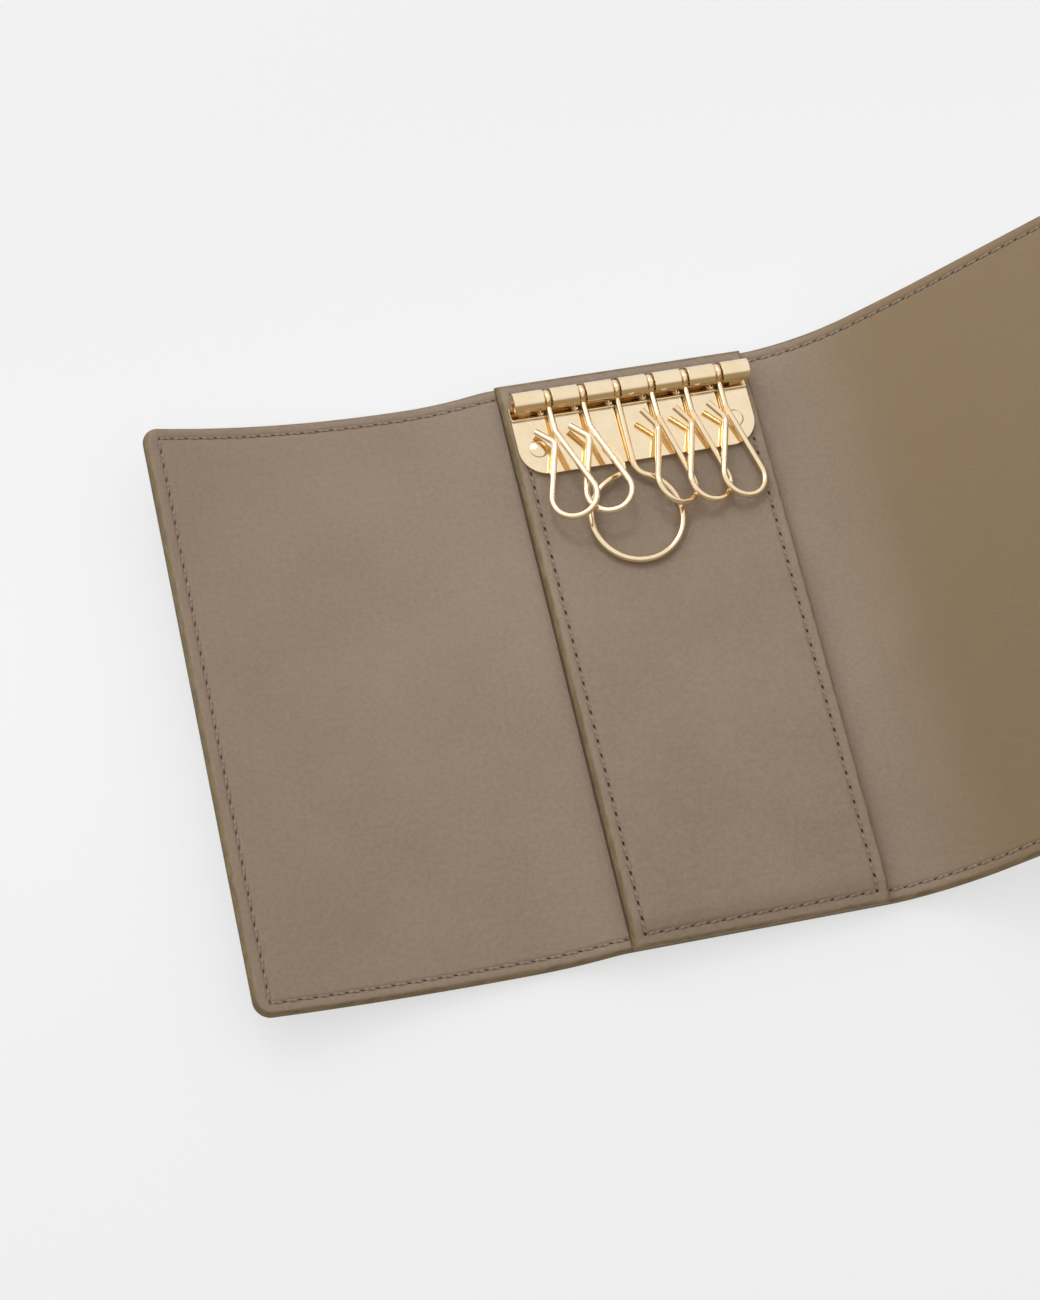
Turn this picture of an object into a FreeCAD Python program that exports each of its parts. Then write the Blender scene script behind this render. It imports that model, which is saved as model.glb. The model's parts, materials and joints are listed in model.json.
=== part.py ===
"""A three-fold leather key case, lying open, with a rolled bar of six key hooks. Millimetres and degrees.

The case is drawn with its back panel level, X across, Y up the case and Z away from the back. It is then
laid on its table: tipped a little, so that it rests on the left spine and on the back's right edge.
"""
import FreeCAD, Part
import math
import os

from FreeCAD import Placement, Rotation, Vector

# Leather
CASE_HEIGHT = 105.0
OUTER_THICKNESS = 1.1
LINING_THICKNESS = 0.9
PANEL_WIDTH = 44.3
PANEL_THICKNESS = 2.0
PANEL_END_THICKNESS = 0.8
PANEL_SKIVE_LENGTH = 5.0
PANEL_EDGE_RADIUS = 0.7
BACK_MARGIN = 2.0
LEFT_SPINE_LENGTH = 14.5
SPINE_STEP = 4.3
FLAP_CLEARANCE = 0.5
RIGHT_FLAP_CURVED_LENGTH = 18.0
RIGHT_FLAP_STRAIGHT_LENGTH = 28.0
FLAP_CORNER_RADIUS = 3.0
LINING_EDGE_RADIUS = 0.6
OUTER_EDGE_RADIUS = 0.8
FOLD_GAP = 0.25
FOLD_BEVEL_ANGLE = 14.0

# Open stance of the folds: heading of each run where it starts, and how far it turns along its length
LEFT_SPINE_HEADING = -22.0
LEFT_SPINE_TURN = 22.0
LEFT_FLAP_TURN = 17.0
RIGHT_SPINE_HEADING = 10.0
RIGHT_SPINE_TURN = 32.0
RIGHT_FLAP_TURN = 4.0
TILT_ATTEMPTS = 6

# Stiffener inside the key panel
BOARD_THICKNESS = 0.8
BOARD_MARGIN = 3.5
BOARD_CLEARANCE = 0.2

# Key bar: one sheet, rolled into a barrel along its upper edge
BAR_WIDTH = 43.0
BAR_OFFSET = 1.0
BAR_SETBACK = 5.65
SHEET_THICKNESS = 0.8
BARREL_RADIUS = 2.1
BARREL_LIP_ANGLE = 165.0
PLATE_LENGTH = 13.2
PLATE_OFFSET = 0.4
PLATE_CORNER_RADIUS = 5.0
BEAD_RADIUS = 0.3
BEAD_DROP = 2.4
SLOT_COUNT = 6
SLOT_END_INSET = 5.9
SLOT_OFFSET = 0.25
SLOT_WIDTH = 1.4
SLOT_FRONT_CLEARANCE = 0.3
CUT_OVERRUN = 1.0

# Rod in the barrel, headed at both ends
ROD_DIAMETER = 1.3
ROD_INSET = 1.2
ROD_HEAD_LENGTH = 2.0
ROD_HEAD_PLAY = 0.05

# Rivets that hold the bar
RIVET_END_INSET = 3.65
RIVET_DROP = 8.25
RIVET_SHANK_DIAMETER = 1.6
RIVET_HEAD_DIAMETER = 3.4
RIVET_HEAD_HEIGHT = 0.3
RIVET_CLINCH_DIAMETER = 2.6
RIVET_CLINCH_HEIGHT = 0.25
RIVET_CLEARANCE = 0.05
WASHER_DIAMETER = 4.0
WASHER_THICKNESS = 0.3

# Wire hooks, measured down and across from the rod
WIRE_DIAMETER = 1.15
EYE_CLEARANCE = 0.05
HOOK_BEND_DROP = 6.4
HOOK_BEND_RADIUS = 2.5
HOOK_LOOP_DROP = 19.7
HOOK_LOOP_SHIFT = 0.15
HOOK_LOOP_RADIUS = 3.95
HOOK_PINCH_DROP = 8.6
HOOK_PINCH_SHIFT = 0.55
HOOK_PINCH_RADIUS = 1.5
HOOK_TAIL_DROP = 5.4
HOOK_TAIL_SHIFT = 3.35
RING_DROP = 23.9
RING_SHIFT = -1.6
RING_RADIUS = 8.1
RING_SHOULDER_RADIUS = 2.9
RING_END_ANGLE = 98.0
RING_TAIL_DROP = 9.6
RING_TAIL_SHIFT = 3.95
RING_PINCH_RADIUS = 1.5
RING_DIP_ANGLE = 2.1
RING_HOOK_NUMBER = 3

# Stance of the other hooks, which lie over one another outwards from the ring hook:
# how far each one rises over the width of a slot pitch, and its lift about the rod
HOOK_RISES = {1: -1.75, 2: -1.15, 4: 2.65, 5: 1.95, 6: 1.6}
HOOK_LIFT_ANGLES = {1: 6.4, 2: 6.5, 4: 3.7, 5: 1.1, 6: 0.1}

# Snap fastener
STUD_SETBACK = 15.3
STUD_FLANGE_DIAMETER = 9.5
STUD_FLANGE_HEIGHT = 0.5
STUD_NECK_DIAMETER = 3.6
STUD_HEAD_DIAMETER = 4.2
STUD_HEAD_HEIGHT = 0.7
STUD_BEVEL_SHARE = 1 / 3
POST_FLANGE_DIAMETER = 9.0
POST_FLANGE_HEIGHT = 0.4
POST_DIAMETER = 1.8
POST_SEAT_GAP = 0.1
SNAP_CLEARANCE = 0.1
SOCKET_DIAMETER = 10.5
SOCKET_WEB = 0.35
CAP_DIAMETER = 12.5
CAP_RIM_HEIGHT = 0.5
CAP_DOME_HEIGHT = 0.9
CAP_POST_DIAMETER = 3.2

# Worked out from the sizes above
STACK = OUTER_THICKNESS + LINING_THICKNESS
BACK_WIDTH = PANEL_WIDTH + 2 * BACK_MARGIN
LEFT_FLAP_LENGTH = BACK_WIDTH - FLAP_CLEARANCE
RIGHT_SPINE_LENGTH = LEFT_SPINE_LENGTH + SPINE_STEP
PANEL_TOP = STACK + PANEL_THICKNESS
PLATE_TOP = PANEL_TOP + SHEET_THICKNESS
BARREL_Y = CASE_HEIGHT / 2 - BAR_SETBACK
BARREL_Z = PANEL_TOP + BARREL_RADIUS
BORE_RADIUS = BARREL_RADIUS - SHEET_THICKNESS
SLOT_PITCH = (BAR_WIDTH - 2 * SLOT_END_INSET) / (SLOT_COUNT - 1)
WIRE_RADIUS = WIRE_DIAMETER / 2
EYE_RADIUS = ROD_DIAMETER / 2 + EYE_CLEARANCE + WIRE_RADIUS
ACROSS = Vector(1, 0, 0)
ALONG = Vector(0, 1, 0)
UP = Vector(0, 0, 1)
NOWHERE = Vector()


class Run:
    """The lining surface of one leather panel in cross-section, as straight and bent lengths."""

    def __init__(self, side, start, heading, bends):
        self.side = side
        self.start = start
        self.heading = heading
        self.bends = bends
        self.length = sum(length for turn, length in bends)

    def step(self, distance):
        """Place and heading at a distance along the run, with X measured outwards."""
        across, up = self.start
        heading = math.radians(self.heading)
        left = distance
        for turn, length in self.bends:
            part = min(left, length)
            half_bend = math.radians(turn) * part / length / 2
            chord = part * (math.sin(half_bend) / half_bend if half_bend else 1)
            across += chord * math.cos(heading + half_bend)
            up += chord * math.sin(heading + half_bend)
            heading += 2 * half_bend
            left -= part
        return across, up, heading

    def at(self, distance, depth=0.0):
        """The point at a distance along the run and a depth below its lining surface."""
        across, up, heading = self.step(distance)
        across += depth * math.sin(heading)
        up -= depth * math.cos(heading)
        return Vector(self.side * across, 0, up)

    def end(self):
        across, up, heading = self.step(self.length)
        return (across, up), math.degrees(heading)

    def heading_at(self, distance):
        return math.degrees(self.step(distance)[2])

    def edges(self, depth, low, high):
        """Edges of the cross-section at one depth, between two distances along the run."""
        edges = []
        passed = 0.0
        for turn, length in self.bends:
            first = max(low, passed)
            last = min(high, passed + length)
            passed += length
            if turn:
                middle = self.at((first + last) / 2, depth)
                edges.append(Part.Arc(self.at(first, depth), middle, self.at(last, depth)).toShape())
            else:
                edges.append(Part.makeLine(self.at(first, depth), self.at(last, depth)))
        return edges


def fold_pull(depth):
    """How far a panel's end stands back from a fold line, at a depth below the lining surface."""
    return FOLD_GAP / 2 + depth * math.tan(math.radians(FOLD_BEVEL_ANGLE))


def round_corners(solid, run):
    """Round a flap's two free corners."""
    tip = run.at(run.length)
    corners = []
    for edge in solid.Edges:
        ends = [vertex.Point for vertex in edge.Vertexes]
        level = abs(ends[0].y - ends[-1].y) < FOLD_GAP
        near = all(Vector(end.x, 0, end.z).distanceToPoint(tip) < STACK + FOLD_GAP for end in ends)
        if level and near:
            corners.append(edge)
    return solid.makeFillet(FLAP_CORNER_RADIUS, corners)


def round_edge(solid, run, depth, folds, radius):
    """Round a sheet's edges on its outward face, all but those along a fold."""
    section = Part.Wire(run.edges(depth, 0.0, run.length))
    tip = run.at(run.length, depth)
    edges = []
    for edge in solid.Edges:
        middle = edge.valueAt((edge.FirstParameter + edge.LastParameter) / 2)
        level = Vector(middle.x, 0, middle.z)
        on_face = section.distToShape(Part.Vertex(level))[0] < FOLD_GAP / 2
        at_side = abs(middle.y) > CASE_HEIGHT / 2 - FLAP_CORNER_RADIUS
        at_tip = not folds[1] and level.distanceToPoint(tip) < FOLD_GAP / 2
        if on_face and (at_side or at_tip):
            edges.append(edge)
    return solid.makeFillet(radius, edges)


def sheet(run, top, bottom, folds):
    """A leather sheet along a run, between two depths; folds says which ends meet a fold."""
    def ends(depth):
        pull = fold_pull(depth)
        return (pull if folds[0] else 0.0), run.length - (pull if folds[1] else 0.0)

    upper = run.edges(top, *ends(top))
    lower = run.edges(bottom, *ends(bottom))
    near = Part.makeLine(run.at(ends(top)[0], top), run.at(ends(bottom)[0], bottom))
    far = Part.makeLine(run.at(ends(top)[1], top), run.at(ends(bottom)[1], bottom))
    outline = Part.Wire(Part.__sortEdges__(upper + lower + [near, far]))
    face = Part.Face(outline)
    face.translate(-ALONG * (CASE_HEIGHT / 2))
    return face.extrude(ALONG * CASE_HEIGHT)


def panel_pair(run, folds):
    """The lining and outer sheets of one panel, with rounded free edges."""
    lining = sheet(run, 0.0, LINING_THICKNESS, folds)
    outer = sheet(run, LINING_THICKNESS, STACK, folds)
    if not all(folds):
        lining = round_corners(lining, run)
        outer = round_corners(outer, run)
    lining = round_edge(lining, run, 0.0, folds, LINING_EDGE_RADIUS)
    outer = round_edge(outer, run, STACK, folds, OUTER_EDGE_RADIUS)
    return lining, outer


def turned(outline, centre):
    """A solid turned about the Z axis from an outline of radii and heights, then set on a centre."""
    points = [Vector(radius, 0, height) for radius, height in outline]
    face = Part.Face(Part.makePolygon(points + points[:1]))
    solid = face.revolve(NOWHERE, UP, 360)
    solid.translate(centre)
    return solid


def domed(radius, bottom, height, centre):
    """A shallow dome: the cap of a sphere that is as wide as its base."""
    ball_radius = (radius ** 2 + height ** 2) / (2 * height)
    ball_centre = centre + UP * (bottom + height - ball_radius)
    ball = Part.makeSphere(ball_radius, ball_centre)
    keep = Part.makeCylinder(radius, height, centre + UP * bottom)
    return ball.common(keep)


def rod_of(diameter, bottom, top, centre):
    return Part.makeCylinder(diameter / 2, top - bottom, centre + UP * bottom)


def turn_about(axis, angle, point):
    return Placement(NOWHERE, Rotation(axis, angle), point)


def key_panel():
    """The raised leather panel: thinned at its ends, pocketed for its board and holed for the rivets."""
    end = CASE_HEIGHT / 2
    flat_end = end - PANEL_SKIVE_LENGTH
    thin = STACK + PANEL_END_THICKNESS
    upper = [(end, thin), (flat_end, PANEL_TOP), (-flat_end, PANEL_TOP), (-end, thin)]
    outline = [(-end, STACK), (end, STACK)] + upper
    points = [Vector(-PANEL_WIDTH / 2, y, z) for y, z in outline]
    panel = Part.Face(Part.makePolygon(points + points[:1])).extrude(ACROSS * PANEL_WIDTH)
    rim = []
    for edge in panel.Edges:
        ends = [vertex.Point for vertex in edge.Vertexes]
        lengthways = abs(ends[0].x - ends[-1].x) < PANEL_EDGE_RADIUS
        if lengthways and min(point.z for point in ends) > STACK:
            rim.append(edge)
    panel = panel.makeFillet(PANEL_EDGE_RADIUS, rim)
    return riveted(panel.cut(board_block(0.0)))


def riveted(layer):
    """A layer of the panel, holed for the rivets and recessed below for their washers and clinched ends."""
    recess = STACK + RIVET_CLINCH_HEIGHT + WASHER_THICKNESS
    for centre in rivet_centres():
        layer = layer.cut(rod_of(RIVET_SHANK_DIAMETER + 2 * RIVET_CLEARANCE, STACK, PANEL_TOP, centre))
        layer = layer.cut(rod_of(WASHER_DIAMETER + 2 * RIVET_CLEARANCE, STACK, recess, centre))
    return layer


def board_block(clearance):
    width = PANEL_WIDTH - 2 * (BOARD_MARGIN + clearance)
    height = CASE_HEIGHT - 2 * (BOARD_MARGIN + clearance)
    return Part.makeBox(width, height, BOARD_THICKNESS, Vector(-width / 2, -height / 2, STACK))


def panel_board():
    """The board that stiffens the key panel."""
    return riveted(board_block(BOARD_CLEARANCE))


def rivet_centres():
    reach = BAR_WIDTH / 2 - RIVET_END_INSET
    return [Vector(PLATE_OFFSET + side * reach, BARREL_Y - RIVET_DROP, 0) for side in (-1, 1)]


def bar_rivets():
    """Two low domed rivets, clinched under the panel's board."""
    rivets = []
    for centre in rivet_centres():
        shank = rod_of(RIVET_SHANK_DIAMETER, STACK, PLATE_TOP, centre)
        clinch = rod_of(RIVET_CLINCH_DIAMETER, STACK, STACK + RIVET_CLINCH_HEIGHT, centre)
        head = domed(RIVET_HEAD_DIAMETER / 2, PLATE_TOP, RIVET_HEAD_HEIGHT, centre)
        rivets.append(shank.fuse([clinch, head]).removeSplitter())
    return Part.makeCompound(rivets)


def rivet_washers():
    low = STACK + RIVET_CLINCH_HEIGHT
    washers = []
    for centre in rivet_centres():
        disc = rod_of(WASHER_DIAMETER, low, low + WASHER_THICKNESS, centre)
        hole = rod_of(RIVET_SHANK_DIAMETER + 2 * RIVET_CLEARANCE, low, low + WASHER_THICKNESS, centre)
        washers.append(disc.cut(hole))
    return Part.makeCompound(washers)


def slot_places():
    middle = BAR_OFFSET + SLOT_OFFSET
    return [middle + (slot - (SLOT_COUNT - 1) / 2) * SLOT_PITCH for slot in range(SLOT_COUNT)]


def barrel_point(radius, angle):
    turn = math.radians(angle)
    return Vector(0, BARREL_Y + radius * math.cos(turn), BARREL_Z + radius * math.sin(turn))


def bar_plate():
    """The flat of the bar: rounded lower corners, a pressed bead, and notches and holes cut through it."""
    low = BARREL_Y - PLATE_LENGTH
    left = PLATE_OFFSET - BAR_WIDTH / 2
    plate = Part.makeBox(BAR_WIDTH, PLATE_LENGTH, SHEET_THICKNESS, Vector(left, low, PANEL_TOP))
    corners = []
    for edge in plate.Edges:
        ends = [vertex.Point for vertex in edge.Vertexes]
        upright = abs(ends[0].z - ends[-1].z) > SHEET_THICKNESS / 2
        if upright and abs(ends[0].y - low) < SHEET_THICKNESS / 2:
            corners.append(edge)
    plate = plate.makeFillet(PLATE_CORNER_RADIUS, corners)
    bead_start = Vector(left, BARREL_Y - BEAD_DROP, PLATE_TOP)
    plate = plate.fuse(Part.makeCylinder(BEAD_RADIUS, BAR_WIDTH, bead_start, ACROSS)).removeSplitter()
    for centre in rivet_centres():
        plate = plate.cut(rod_of(RIVET_SHANK_DIAMETER + 2 * RIVET_CLEARANCE, PANEL_TOP, PLATE_TOP, centre))
    return slotted(plate, EYE_RADIUS + WIRE_RADIUS + SLOT_FRONT_CLEARANCE)


def bar_barrel():
    """The rolled edge of the bar, slotted into knuckles."""
    bottom_angle = -90.0
    half_angle = (bottom_angle + BARREL_LIP_ANGLE) / 2
    outside = [barrel_point(BARREL_RADIUS, angle) for angle in (bottom_angle, half_angle, BARREL_LIP_ANGLE)]
    inside = [barrel_point(BORE_RADIUS, angle) for angle in (BARREL_LIP_ANGLE, half_angle, bottom_angle)]
    profile = Part.Wire([
        Part.Arc(*outside).toShape(),
        Part.makeLine(outside[-1], inside[0]),
        Part.Arc(*inside).toShape(),
        Part.makeLine(inside[-1], outside[0]),
    ])
    face = Part.Face(profile)
    face.translate(ACROSS * (BAR_OFFSET - BAR_WIDTH / 2))
    return slotted(face.extrude(ACROSS * BAR_WIDTH), BARREL_RADIUS + CUT_OVERRUN)


def slotted(sheet_part, reach):
    """A part of the bar, slotted for the eyes of the hooks from the back to a reach before the rod."""
    depth = reach + BARREL_RADIUS + CUT_OVERRUN
    height = 2 * BARREL_RADIUS + 2 * CUT_OVERRUN
    for place in slot_places():
        corner = Vector(place - SLOT_WIDTH / 2, BARREL_Y - reach, PANEL_TOP - CUT_OVERRUN)
        sheet_part = sheet_part.cut(Part.makeBox(SLOT_WIDTH, depth, height, corner))
    return sheet_part


def key_bar():
    """The bar: a plate whose upper edge is rolled into a barrel."""
    return bar_plate().fuse(bar_barrel()).removeSplitter()


def hook_rod():
    """The rod that the hooks swing on, with a head at each end that seats in the barrel."""
    length = BAR_WIDTH - 2 * ROD_INSET
    start = Vector(BAR_OFFSET - length / 2, BARREL_Y, BARREL_Z)
    rod = Part.makeCylinder(ROD_DIAMETER / 2, length, start, ACROSS)
    heads = []
    for distance in (0.0, length - ROD_HEAD_LENGTH):
        head_start = start + ACROSS * distance
        heads.append(Part.makeCylinder(BORE_RADIUS - ROD_HEAD_PLAY, ROD_HEAD_LENGTH, head_start, ACROSS))
    return rod.fuse(heads).removeSplitter()


def rounded(points, radius):
    """Edges through three points, with the middle corner rounded."""
    first, corner, last = points
    back = (first - corner).normalize()
    on = (last - corner).normalize()
    half = back.getAngle(on) / 2
    reach = radius / math.tan(half)
    inward = (back + on).normalize()
    middle = corner + inward * (radius / math.sin(half) - radius)
    start = corner + back * reach
    stop = corner + on * reach
    return [
        Part.makeLine(first, start),
        Part.Arc(start, middle, stop).toShape(),
        Part.makeLine(stop, last),
    ]


def on_circle(centre, radius, angle):
    return centre + Vector(math.cos(angle), math.sin(angle), 0) * radius


def tangent_angle(point, centre, radius, side):
    """Angle on a circle where a line from an outside point touches it."""
    reach = point - centre
    return math.atan2(reach.y, reach.x) + side * math.acos(radius / reach.Length)


def small_hook_path():
    """A pear-shaped spring hook: shank, slanted leg, loop, returning leg and flared tail."""
    start = Vector(0, -EYE_RADIUS, 0)
    bend = Vector(0, -HOOK_BEND_DROP, 0)
    centre = Vector(HOOK_LOOP_SHIFT, -HOOK_LOOP_DROP, 0)
    pinch = Vector(-HOOK_PINCH_SHIFT, -HOOK_PINCH_DROP, 0)
    tail = Vector(-HOOK_TAIL_SHIFT, -HOOK_TAIL_DROP, 0)
    right_angle = tangent_angle(bend, centre, HOOK_LOOP_RADIUS, -1)
    left_angle = tangent_angle(pinch, centre, HOOK_LOOP_RADIUS, 1) - 2 * math.pi
    right = on_circle(centre, HOOK_LOOP_RADIUS, right_angle)
    left = on_circle(centre, HOOK_LOOP_RADIUS, left_angle)
    low = on_circle(centre, HOOK_LOOP_RADIUS, (right_angle + left_angle) / 2)
    loop = Part.Arc(right, low, left).toShape()
    legs_in = rounded([start, bend, right], HOOK_BEND_RADIUS)
    legs_out = rounded([left, pinch, tail], HOOK_PINCH_RADIUS)
    return legs_in + [loop] + legs_out


def ring_hook_path():
    """The large ring hook: a long shank, a shoulder into the ring, and a tail beside the shank."""
    centre = Vector(RING_SHIFT, -RING_DROP, 0)
    reach = RING_RADIUS + RING_SHOULDER_RADIUS
    across = RING_SHOULDER_RADIUS - RING_SHIFT
    shoulder = Vector(RING_SHOULDER_RADIUS, -RING_DROP + math.sqrt(reach ** 2 - across ** 2), 0)
    shank_end = Vector(0, shoulder.y, 0)
    join_angle = math.atan2(shoulder.y - centre.y, shoulder.x - centre.x)
    join = on_circle(centre, RING_RADIUS, join_angle)
    shoulder_middle_angle = math.pi + join_angle / 2
    shoulder_middle = on_circle(shoulder, RING_SHOULDER_RADIUS, shoulder_middle_angle)
    end_angle = math.radians(RING_END_ANGLE) - 2 * math.pi
    end = on_circle(centre, RING_RADIUS, end_angle)
    low = on_circle(centre, RING_RADIUS, (join_angle + end_angle) / 2)
    heading = Vector(math.sin(end_angle), -math.cos(end_angle), 0)
    pinch = end + heading * RING_PINCH_RADIUS
    tail = Vector(-RING_TAIL_SHIFT, -RING_TAIL_DROP, 0)
    return [
        Part.makeLine(Vector(0, -EYE_RADIUS, 0), shank_end),
        Part.Arc(shank_end, shoulder_middle, join).toShape(),
        Part.Arc(join, low, end).toShape(),
    ] + rounded([end, pinch, tail], RING_PINCH_RADIUS)


def wire_hook(path, roll, lift, place):
    """A bent wire with its eye on the rod, rolled about its shank and lifted about the rod."""
    spine = Part.Wire(path)
    start = spine.Edges[0].valueAt(spine.Edges[0].FirstParameter)
    section = Part.Wire(Part.makeCircle(WIRE_RADIUS, start, ALONG))
    wire = spine.makePipeShell([section], True, False)
    wire.rotate(NOWHERE, ALONG, roll)
    eye = Part.makeTorus(EYE_RADIUS, WIRE_RADIUS, NOWHERE, ACROSS)
    hook = eye.fuse(wire).removeSplitter()
    hook.rotate(NOWHERE, ACROSS, -lift)
    hook.translate(Vector(place, BARREL_Y, BARREL_Z))
    return hook


def hooks():
    """Five spring hooks and the ring hook, each in its slot."""
    made = {}
    for number, place in enumerate(slot_places(), start=1):
        if number == RING_HOOK_NUMBER:
            made["key_ring_hook"] = wire_hook(ring_hook_path(), 0.0, -RING_DIP_ANGLE, place)
        else:
            roll = math.degrees(math.asin(HOOK_RISES[number] / SLOT_PITCH))
            made[f"key_hook_{number}"] = wire_hook(small_hook_path(), roll, HOOK_LIFT_ANGLES[number], place)
    return made


# Cross-section of the case: the back panel and the folds on each side of it
back_run = Run(1, (-BACK_WIDTH / 2, STACK), 0.0, [(0.0, BACK_WIDTH)])
left_spine_bends = [(LEFT_SPINE_TURN, LEFT_SPINE_LENGTH)]
left_spine_run = Run(-1, (BACK_WIDTH / 2, STACK), LEFT_SPINE_HEADING, left_spine_bends)
left_flap_run = Run(-1, *left_spine_run.end(), [(LEFT_FLAP_TURN, LEFT_FLAP_LENGTH)])
right_spine_bends = [(RIGHT_SPINE_TURN, RIGHT_SPINE_LENGTH)]
right_spine_run = Run(1, (BACK_WIDTH / 2, STACK), RIGHT_SPINE_HEADING, right_spine_bends)
right_flap_bends = [(RIGHT_FLAP_TURN, RIGHT_FLAP_CURVED_LENGTH), (0.0, RIGHT_FLAP_STRAIGHT_LENGTH)]
right_flap_run = Run(1, *right_spine_run.end(), right_flap_bends)

# Travel from the open stance to closed: each spine stands upright, and each flap lies level where it snaps
left_spine_travel = 90 - LEFT_SPINE_HEADING - LEFT_SPINE_TURN / 2
left_flap_travel = 180 - left_flap_run.heading_at(STUD_SETBACK) - left_spine_travel
right_spine_travel = 90 - RIGHT_SPINE_HEADING - RIGHT_SPINE_TURN / 2
right_flap_travel = 180 - right_flap_run.heading_at(right_flap_run.length) - right_spine_travel


def closing(spine, flap, spine_travel, flap_travel):
    """Where a flap's pieces go when the case is closed."""
    axis = -ALONG * spine.side
    return turn_about(axis, spine_travel, spine.at(0.0)) * turn_about(axis, flap_travel, flap.at(0.0))


left_closing = closing(left_spine_run, left_flap_run, left_spine_travel, left_flap_travel)
right_closing = closing(right_spine_run, right_flap_run, right_spine_travel, right_flap_travel)


def snap(left_sheets, right_sheets):
    """The snap, drawn closed on one axis, then carried to the open flaps; the flaps are holed for it."""
    seat = left_closing.multVec(left_flap_run.at(STUD_SETBACK, STACK))
    roof = right_closing.multVec(right_flap_run.at(right_flap_run.length)).z
    axis = Vector(seat.x, 0, 0)
    gap = roof - seat.z
    socket_height = gap - STUD_FLANGE_HEIGHT - SNAP_CLEARANCE
    stud_top = seat.z + gap - SOCKET_WEB - SNAP_CLEARANCE
    neck_top = stud_top - STUD_HEAD_HEIGHT
    bevel = STUD_HEAD_HEIGHT * STUD_BEVEL_SHARE
    post_radius = POST_DIAMETER / 2
    bore_radius = post_radius + RIVET_CLEARANCE
    head_radius = STUD_HEAD_DIAMETER / 2
    stud = turned([
        (bore_radius, seat.z), (STUD_FLANGE_DIAMETER / 2, seat.z),
        (STUD_FLANGE_DIAMETER / 2, seat.z + STUD_FLANGE_HEIGHT),
        (STUD_NECK_DIAMETER / 2, seat.z + STUD_FLANGE_HEIGHT),
        (STUD_NECK_DIAMETER / 2, neck_top), (head_radius, neck_top + bevel),
        (head_radius, stud_top - bevel), (bore_radius, stud_top),
    ], axis)
    flange_top = seat.z - OUTER_THICKNESS - POST_SEAT_GAP
    flange_bottom = flange_top - POST_FLANGE_HEIGHT
    post = rod_of(POST_FLANGE_DIAMETER, flange_bottom, flange_top, axis)
    post = post.fuse(rod_of(POST_DIAMETER, flange_bottom, stud_top, axis)).removeSplitter()
    pocket_diameter = POST_FLANGE_DIAMETER + 2 * RIVET_CLEARANCE
    pocket = rod_of(pocket_diameter, flange_bottom, seat.z - OUTER_THICKNESS, axis)
    post_hole = rod_of(2 * bore_radius, flange_bottom, seat.z + CUT_OVERRUN, axis)
    cavity_radius = head_radius + 2 * SNAP_CLEARANCE
    cap_post_radius = CAP_POST_DIAMETER / 2
    web_radius = cap_post_radius + RIVET_CLEARANCE
    socket_radius = SOCKET_DIAMETER / 2
    socket = turned([
        (web_radius, roof), (socket_radius, roof),
        (socket_radius, roof - socket_height), (cavity_radius, roof - socket_height),
        (cavity_radius, roof - SOCKET_WEB), (web_radius, roof - SOCKET_WEB),
    ], axis)
    outside = roof + STACK
    rim = rod_of(CAP_DIAMETER, outside, outside + CAP_RIM_HEIGHT, axis)
    dome = domed(CAP_DIAMETER / 2, outside + CAP_RIM_HEIGHT, CAP_DOME_HEIGHT, axis)
    cap_post = rod_of(CAP_POST_DIAMETER, roof - SOCKET_WEB, outside, axis)
    cap = rim.fuse([dome, cap_post]).removeSplitter()
    cap_hole = rod_of(2 * web_radius, roof - CUT_OVERRUN, outside + CUT_OVERRUN, axis)
    left_opening = left_closing.inverse()
    right_opening = right_closing.inverse()
    left_lining, left_outer = left_sheets
    right_lining, right_outer = right_sheets
    return {
        "left_flap_lining": left_lining.cut(pocket.transformGeometry(left_opening.toMatrix())),
        "left_flap_outer": left_outer.cut(post_hole.transformGeometry(left_opening.toMatrix())),
        "right_flap_lining": right_lining.cut(cap_hole.transformGeometry(right_opening.toMatrix())),
        "right_flap_outer": right_outer.cut(cap_hole.transformGeometry(right_opening.toMatrix())),
        "snap_stud": carried(stud, left_opening),
        "stud_post": carried(post, left_opening),
        "snap_socket": carried(socket, right_opening),
        "snap_cap": carried(cap, right_opening),
    }


def carried(solid, placement):
    moved = solid.copy()
    moved.Placement = placement.multiply(moved.Placement)
    return moved


def build():
    """Every piece of the case, with the back panel level."""
    pieces = {}
    pieces["back_lining"], pieces["back_outer"] = panel_pair(back_run, (True, True))
    pieces["left_spine_lining"], pieces["left_spine_outer"] = panel_pair(left_spine_run, (True, True))
    pieces["right_spine_lining"], pieces["right_spine_outer"] = panel_pair(right_spine_run, (True, True))
    left_sheets = panel_pair(left_flap_run, (True, False))
    right_sheets = panel_pair(right_flap_run, (True, False))
    pieces.update(snap(left_sheets, right_sheets))
    pieces["key_panel"] = key_panel()
    pieces["panel_board"] = panel_board()
    pieces["key_bar"] = key_bar()
    pieces["bar_rivets"] = bar_rivets()
    pieces["rivet_washers"] = rivet_washers()
    pieces["hook_rod"] = hook_rod()
    pieces.update(hooks())
    return pieces


def rest_tilt():
    """How far the open case tips, to stand on the left spine and on the back's right edge."""
    right_foot = back_run.at(BACK_WIDTH - fold_pull(STACK), STACK)
    tilt = 0.0
    for attempt in range(TILT_ATTEMPTS):
        share = (-LEFT_SPINE_HEADING - tilt) / LEFT_SPINE_TURN
        left_foot = left_spine_run.at(share * LEFT_SPINE_LENGTH, STACK)
        tilt = math.degrees(math.atan2(right_foot.z - left_foot.z, right_foot.x - left_foot.x))
    return tilt


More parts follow.
